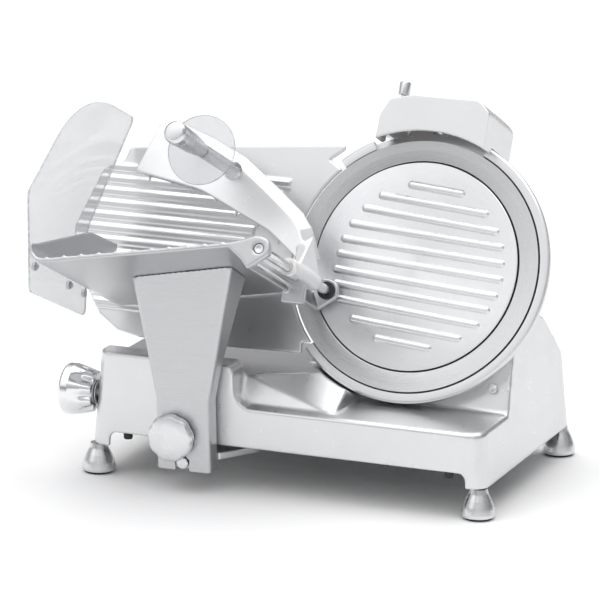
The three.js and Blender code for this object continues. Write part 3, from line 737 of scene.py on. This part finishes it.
def make_switches():
    """The switch plate on the left end wall, which leans by its draft, and its two buttons."""
    draft = END_WALL["draft"]
    wall_x = END_WALL["x"] + draft * (SWITCH_HEIGHT - END_WALL["foot"])
    wall = at(LEVEL, wall_x, 0, SWITCH_HEIGHT) @ Matrix.Rotation(math.atan(draft), 4, "Y") @ TO_X
    plate = new_object("switch_bezel", prism(rectangle(22, 90, -17, 17, 8), -2.8, -0.3), wall)
    for _, y, _, _ in BUTTONS:
        carve(plate, prism(arc(BUTTON_HOLE, 0, 352.5, 47, y, 0), -6, 3))
    dress(bevel(plate, 0.5), "plastic", "base", ["switch_plate"])
    cap = [(0, -7.4), (6.5, -8, 4), (8.4, -7.6, 0.8), (9, -6.4, 0.6), (9, 3), (0, 3)]
    for name, y, finish, body in BUTTONS:
        button = new_object(name + "_cap", revolve(cap, 64), at(wall, y, 0, 0))
        dress(button, finish, body, [name])


# ---------- blade, ring and drive ----------


def make_ring_guard():
    """The ring round the blade, open towards the tray and under the sharpener."""
    outer, rear, inner = RING["outer"], RING["rear"], RING["inner"]
    front, back = RING["front"], RING["back"]
    section = [
        (40, back), (rear, back, 1.5), (outer - 0.05, -9, 3), (outer - 0.05, front - 1.5, 1.8),
        (outer - 2.5, front, 1.2), (inner + 1, front, 0.7), (inner, front - 2, 0.6),
        (inner, back + 4, 2), (40, back + 4),
    ]
    ring = new_object("ring_casting", revolve(section, 240, steps=4), SLOPE)
    mouth = prism(arc(105, 223, 134, 40) + arc(190, 134, 223, 40), back - 5, front + 5)
    carve(ring, mouth)
    under_sharpener = prism(arc(146, 118, 66, 24) + arc(190, 66, 118, 24), -14, front + 5)
    carve(ring, under_sharpener)
    dress(bevel(ring, 0.8, 2, 45), "casting", "base", ["ring_guard"])


def make_blade():
    """The blade: a ground bevel, a hollow-ground band and a sunk middle."""
    profile = [
        (22, -9), (118, -9, 3), (123, -8, 2), (126.6, -2.9, 1.2), (139, -1.35, 30),
        (149.95, -0.35), (149.95, -0.75), (140, -6.4, 60), (128, -12, 4), (22, -12),
    ]
    blade = new_object("blade_disc", revolve(profile, 256), SLOPE)
    dress(blade, "blade", "blade_rotor", ["blade"], 50)
    refinish("blade_shaft", "steel")
    refinish("blade_pulley", "steel", 0.4)


# Both ends of each bead on the cover plate: left x, right x, left y, right y.
COVER_BEADS = [
    (-23, 45, 96, 91), (-57, 78, 80, 70), (-75, 94, 63, 50), (-88, 103, 43, 32), (-95, 107, 24, 13),
    (-98, 108, 6, -6), (-99, 105, -13, -26), (-97, 98, -30, -43), (-90, 88, -48, -62),
    (-69, 69, -70, -80), (-36, 34, -90, -95),
]


def make_cover_plate():
    """The fixed disc in front of the blade, with raised beads across it."""
    radius = COVER_RADIUS
    profile = [
        (0, -7.5), (radius - 4, -7.5), (radius - 0.4, -2.4, 0.8), (radius - 1.4, -1.5, 0.8),
        (0, -1.5),
    ]
    plate = new_object("cover_disc", revolve(profile, 240), SLOPE)
    bead = [
        (5.2, -2.4), (4.9, -1.45), (4.2, -1.1), (3.6, -0.1), (2.9, 0.75), (1.8, 1.15), (0.7, 1.28),
    ]
    beads = [bar(x0 + 3, y0, x1 - 3, y1, bead) for x0, x1, y0, y1 in COVER_BEADS]
    fuse(plate, *beads)
    dress(plate, "cover", "base", ["cover_plate"], 55)


def make_drive():
    """The bearing, the belt drive, and the cover plate's screw knob behind the blade."""
    refinish("blade_bearing", "chrome", 0.5)
    refinish("spindle_housing", "casting", 0.8)
    refinish("cover_tie_rod", "steel")
    refinish("motor_body", "plastic", 0.8)
    refinish("motor_pulley", "steel", 0.4)
    refinish("drive_belt", "rubber", 0.4)

    def grips(angle, radius, z):
        """Twelve grip grooves round the knob's rim."""
        if radius <= 14.5:
            return radius
        return radius - 0.9 * max(0.0, math.cos(12 * angle)) ** 0.5

    profile = [
        (4.4, -91.6), (10, -92, 1), (13.2, -91.4, 1.5), (15.9, -88, 1.5), (15.9, -74.5, 1.5),
        (12, -70.5, 1), (4.4, -70.5),
    ]
    knob = new_object("cover_grip", revolve(profile, 144, grips), SLOPE)
    dress(knob, "plastic", "cover_screw", ["cover_knob"])


def make_ring_bolt():
    back = RING["back"]
    profile = [(0, back), (5.9, back), (5.9, -22.6, 1.2), (4.6, -22.1), (0, -22.1)]
    place = at(SLOPE, RING_BOLT["x"], RING_BOLT["y"])
    head = new_object("ring_bolt_head", revolve(profile, 64), place)
    dress(head, "satin_chrome", "base", ["ring_bolt"])


# ---------- sharpener ----------


def make_sharpener():
    """The housing above the blade, with a grinding and a honing stone on sprung push pins."""
    shell = soften(copy_of("sharpener_housing", SLOPE), 1.0, 4)
    dress(shell, "casting", "sharpener", ["sharpener_housing"], 60)
    refinish("sharpener_post", "chrome", 0.6)
    boot = [(3.6, 191.5), (8.6, 191.5), (9, 194.6, 0.8), (8.2, 195.8, 0.6), (3.6, 195.8)]
    sleeve = new_object("pin_boot", revolve(boot, 72, steps=4), pin_place("grinding"))
    dress(sleeve, "rubber", "sharpener")
    for body in PINS:
        make_pin(body)
        make_stone(body)


def pin_place(body):
    return at(SLOPE, PINS[body]["x"], 0, PINS[body]["z"]) @ TO_Y


def make_pin(body):
    """A thin stem with a wide head, which starts above the housing."""
    foot, top, radius = PINS[body]["foot"], PINS[body]["top"], PINS[body]["radius"]
    profile = [
        (0, 175.3), (2.95, 175.3), (2.95, foot), (radius, foot, 0.8), (radius, top - 1.2, 1.2),
        (radius - 1.6, top, 0.4), (radius - 2.6, top - 0.5), (0, top - 0.5),
    ]
    pin = new_object(body + "_plunger", revolve(profile, 64, steps=4), pin_place(body))
    dress(pin, "satin_chrome", body, [body + "_pin"])


def make_stone(body):
    profile = [(0, 168), (9, 168, 0.6), (10, 170, 0.8), (10, 175), (0, 175)]
    wheel = new_object(body + "_wheel", revolve(profile, 72), pin_place(body))
    dress(wheel, "grit", body, [body + "_stone"])


# ---------- gauge plate and thickness control ----------


def make_gauge_plate():
    plate = soften(copy_of("gauge_plate", SLOPE), 1.3, 1)
    dress(plate, "casting", "gauge", ["gauge_plate"], 50)
    refinish("gauge_carrier", "steel", 0.6)
    refinish("gauge_guide_pin", "chrome")


def make_thickness_control():
    """The fluted knob on the left end, with its shaft and collar."""
    axis = at(LEVEL, 0, KNOB_AXIS["y"], KNOB_AXIS["z"]) @ TO_X

    def flutes(angle, radius, z):
        """Eight scallops that fade out towards the knob's outer end."""
        if radius <= 18:
            return radius
        depth = 5.2 * min(1.0, max(0.0, (z + 268) / 25))
        return radius - depth * (0.5 + 0.5 * math.cos(8 * angle)) ** 1.6

    profile = [
        (0, -280.3), (18, -280.3, 6), (24.5, -282.2, 6), (29, -282.3, 3), (30.9, -279, 3),
        (30.9, -271, 10), (27.6, -256, 40), (24.4, -245, 3), (23.6, -243.1, 1), (6.5, -243.1),
        (6.5, -254.6), (0, -254.6),
    ]
    knob = new_object("thickness_grip", revolve(profile, 256, flutes), axis)
    dress(knob, "chrome", "thickness_control", ["thickness_knob"], 45)
    refinish("thickness_shaft", "steel")
    collar = [(6.8, -242.5), (13, -242.5, 0.6), (13.9, -241.7, 0.4), (13.9, -240.7), (6.8, -240.7)]
    ring = new_object("dial_collar", revolve(collar, 96, steps=4), axis)
    dress(ring, "satin_chrome", "base", ["knob_collar"])


# ---------- carriage ----------


def make_tray():
    """The food tray, with beads along its floor that show as waves in the front rim."""
    tray = copy_of("tray", SLOPE)
    (start_x, start_y), (end_x, end_y) = TRAY["floor"]
    rise = (end_y - start_y) / (end_x - start_x)
    beads = []
    for step in range(TRAY_BEADS["count"]):
        x = TRAY_BEADS["first"] + TRAY_BEADS["pitch"] * step
        y = start_y + (x - start_x) * rise - TRAY_BEADS["sunk"]
        section = arc(TRAY_BEADS["radius"], 0, 345, 23, x, y)
        beads.append(prism(section, TRAY["back"] + 2, TRAY["front"] - 0.2))
    fuse(tray, *beads)
    soften(tray, 1.3, 2)
    dress(tray, "brushed", "carriage", ["tray"], 60)
    square_up(tray)


def make_column():
    column = soften(copy_of("column", LEVEL), 1.4, 1)
    dress(column, "brushed", "carriage", ["column"], 60)
    foot = soften(copy_of("carriage_foot", LEVEL), 1.3, 3)
    dress(foot, "casting", "carriage", ["carriage_foot"], 60)
    refinish("slide_shoe", "nylon", 0.6)


def make_carriage_knob():
    """The clamp knob: shallow lobes round a domed face."""

    def lobes(angle, radius, z):
        share = min(1.0, max(0.0, (radius - 20) / 8))
        return radius - 1.2 * share * (0.5 - 0.5 * math.cos(9 * angle)) ** 2

    profile = [
        (0, -211.9), (19, -211.6, 60), (25.5, -210, 4), (28.3, -206.5, 3), (28.3, -203.4, 1),
        (26.6, -202.6, 0.6), (26.6, -201.2, 0.6), (27.6, -200.4, 0.8), (27.2, -198.2, 1.2),
        (15, -197.4, 1), (15, -196.4), (0, -196.4),
    ]
    place = at(LEVEL, CARRIAGE_KNOB["x"], 0, CARRIAGE_KNOB["z"]) @ TO_Y
    knob = new_object("clamp_knob", revolve(profile, 192, lobes), place)
    dress(knob, "satin_chrome", "carriage_screw", ["carriage_knob"], 50)


def make_latch_pin():
    pin = [(0, -197.5), (6.2, -197.5, 0.6), (7.3, -196.4, 0.6), (7.3, -186.5), (0, -186.5)]
    place = at(LEVEL, LATCH["x"], 0, LATCH["z"]) @ TO_Y
    head = new_object("latch_head", revolve(pin, 64), place)
    dress(head, "satin_chrome", "carriage", ["latch_pin"])


# The outline of the clear guard on the tray's outer wall: along the slope's z, and up the wall.
HAND_GUARD = [
    (275, 76, 12), (160, 226, 200), (1.5, 230, 3), (1.5, 223, 3), (91, 73, 14), (61, -27, 9),
    (232, -32, 9),
]
GUARD_SCREWS = (220, 114, 66)


def dress_sheet(piece, body, replaced):
    """Clear faces, and edges painted grey as painted shade, told apart by which way they face."""
    dress(piece, "clear", body, replaced, 50)
    # The edge faces get the grey painted-shade finish.
    piece.data.materials.append(FINISHES["edge"])
    for face in piece.data.polygons:
        face.material_index = 0 if abs(face.normal.z) > 0.9 else 1


def make_hand_guard():
    """The clear sheet on the tray's outer wall, held by three screws."""
    guard = new_object("guard_sheet", prism(HAND_GUARD, 0.4, 3.2, 16), WALL)
    for index, h in enumerate(GUARD_SCREWS):
        carve(guard, prism(arc(2.6, 0, 345, 23, h, 0), -2, 6))
        cap_screw(f"guard_screw_{index}", 5, 4, at(WALL, h, 0, 3.3), "carriage")
    bevel(guard, 0.35, 2, 50)
    settle(guard)
    dress_sheet(guard, "carriage", ["hand_guard"])
    square_up(guard)


def make_pusher_rod():
    """The rod that the pusher slides and swings on, and the rubber ring at its lower end."""
    place = at(SLOPE, ROD["x"], ROD["y"])
    profile = [
        (0, 10), (5.2, 10), (5.95, 10.8), (5.95, 253), (5.2, 253.9), (2.2, 253.9), (0, 252.6),
    ]
    rod = new_object("pusher_bar", revolve(profile, 64), place)
    dress(rod, "satin_chrome", "carriage", ["pusher_rod"])
    bumper = [(6.3, 16.4), (10.6, 16.4, 0.8), (10.6, 18.9, 0.8), (6.3, 18.9)]
    ring = new_object("bumper_ring", revolve(bumper, 72), place)
    dress(ring, "rubber", "carriage", ["rod_bumper"])
    refinish("guide_bar", "chrome")


# ---------- pusher ----------


def make_pusher_arm():
    arm = soften(copy_of("pusher_arm", SLOPE), 1.1, 3)
    dress(arm, "pale_casting", "pusher", ["pusher_arm"], 60)
    refinish("spike_strip", "steel")
    refinish("pusher_bush", "nylon", 0.3)


def make_pusher_handle():
    """A turned handle that swells towards its end, and the clear disc that shields the hand."""
    axis = at(SLOPE, HANDLE["x"], HANDLE["y"])
    grip = [
        (0, 75.4), (11.9, 75.4, 1), (9.6, 80, 6), (8.2, 90, 20), (8.2, 180.8), (8.2, 184.2),
        (9.4, 193, 20), (11.8, 220, 40), (12.9, 250, 30), (12.9, 255.4, 0.6), (12.2, 256, 0.4),
        (12.2, 256.8, 0.4), (13.4, 257.4, 0.5), (13.4, 270, 1.5), (10.4, 273.9, 3), (0, 274.9),
    ]
    handle = new_object("handle_grip", revolve(grip, 96), axis)
    dress(handle, "satin_chrome", "pusher", ["pusher_handle"], 50)
    shield = [(8.6, 181.1), (41, 181.1, 0.4), (41.4, 182.5, 0.4), (41, 183.9, 0.4), (8.6, 183.9)]
    disc = new_object("handle_shield", revolve(shield, 160, steps=4), axis)
    dress_sheet(disc, "pusher", ["handle_disc"])


make_camera()
make_studio()
make_floor()
make_base()
make_ring_guard()
make_blade()
make_cover_plate()
make_drive()
make_ring_bolt()
make_sharpener()
make_gauge_plate()
make_thickness_control()
make_tray()
make_column()
make_carriage_knob()
make_latch_pin()
make_hand_guard()
make_pusher_rod()
make_pusher_arm()
make_pusher_handle()
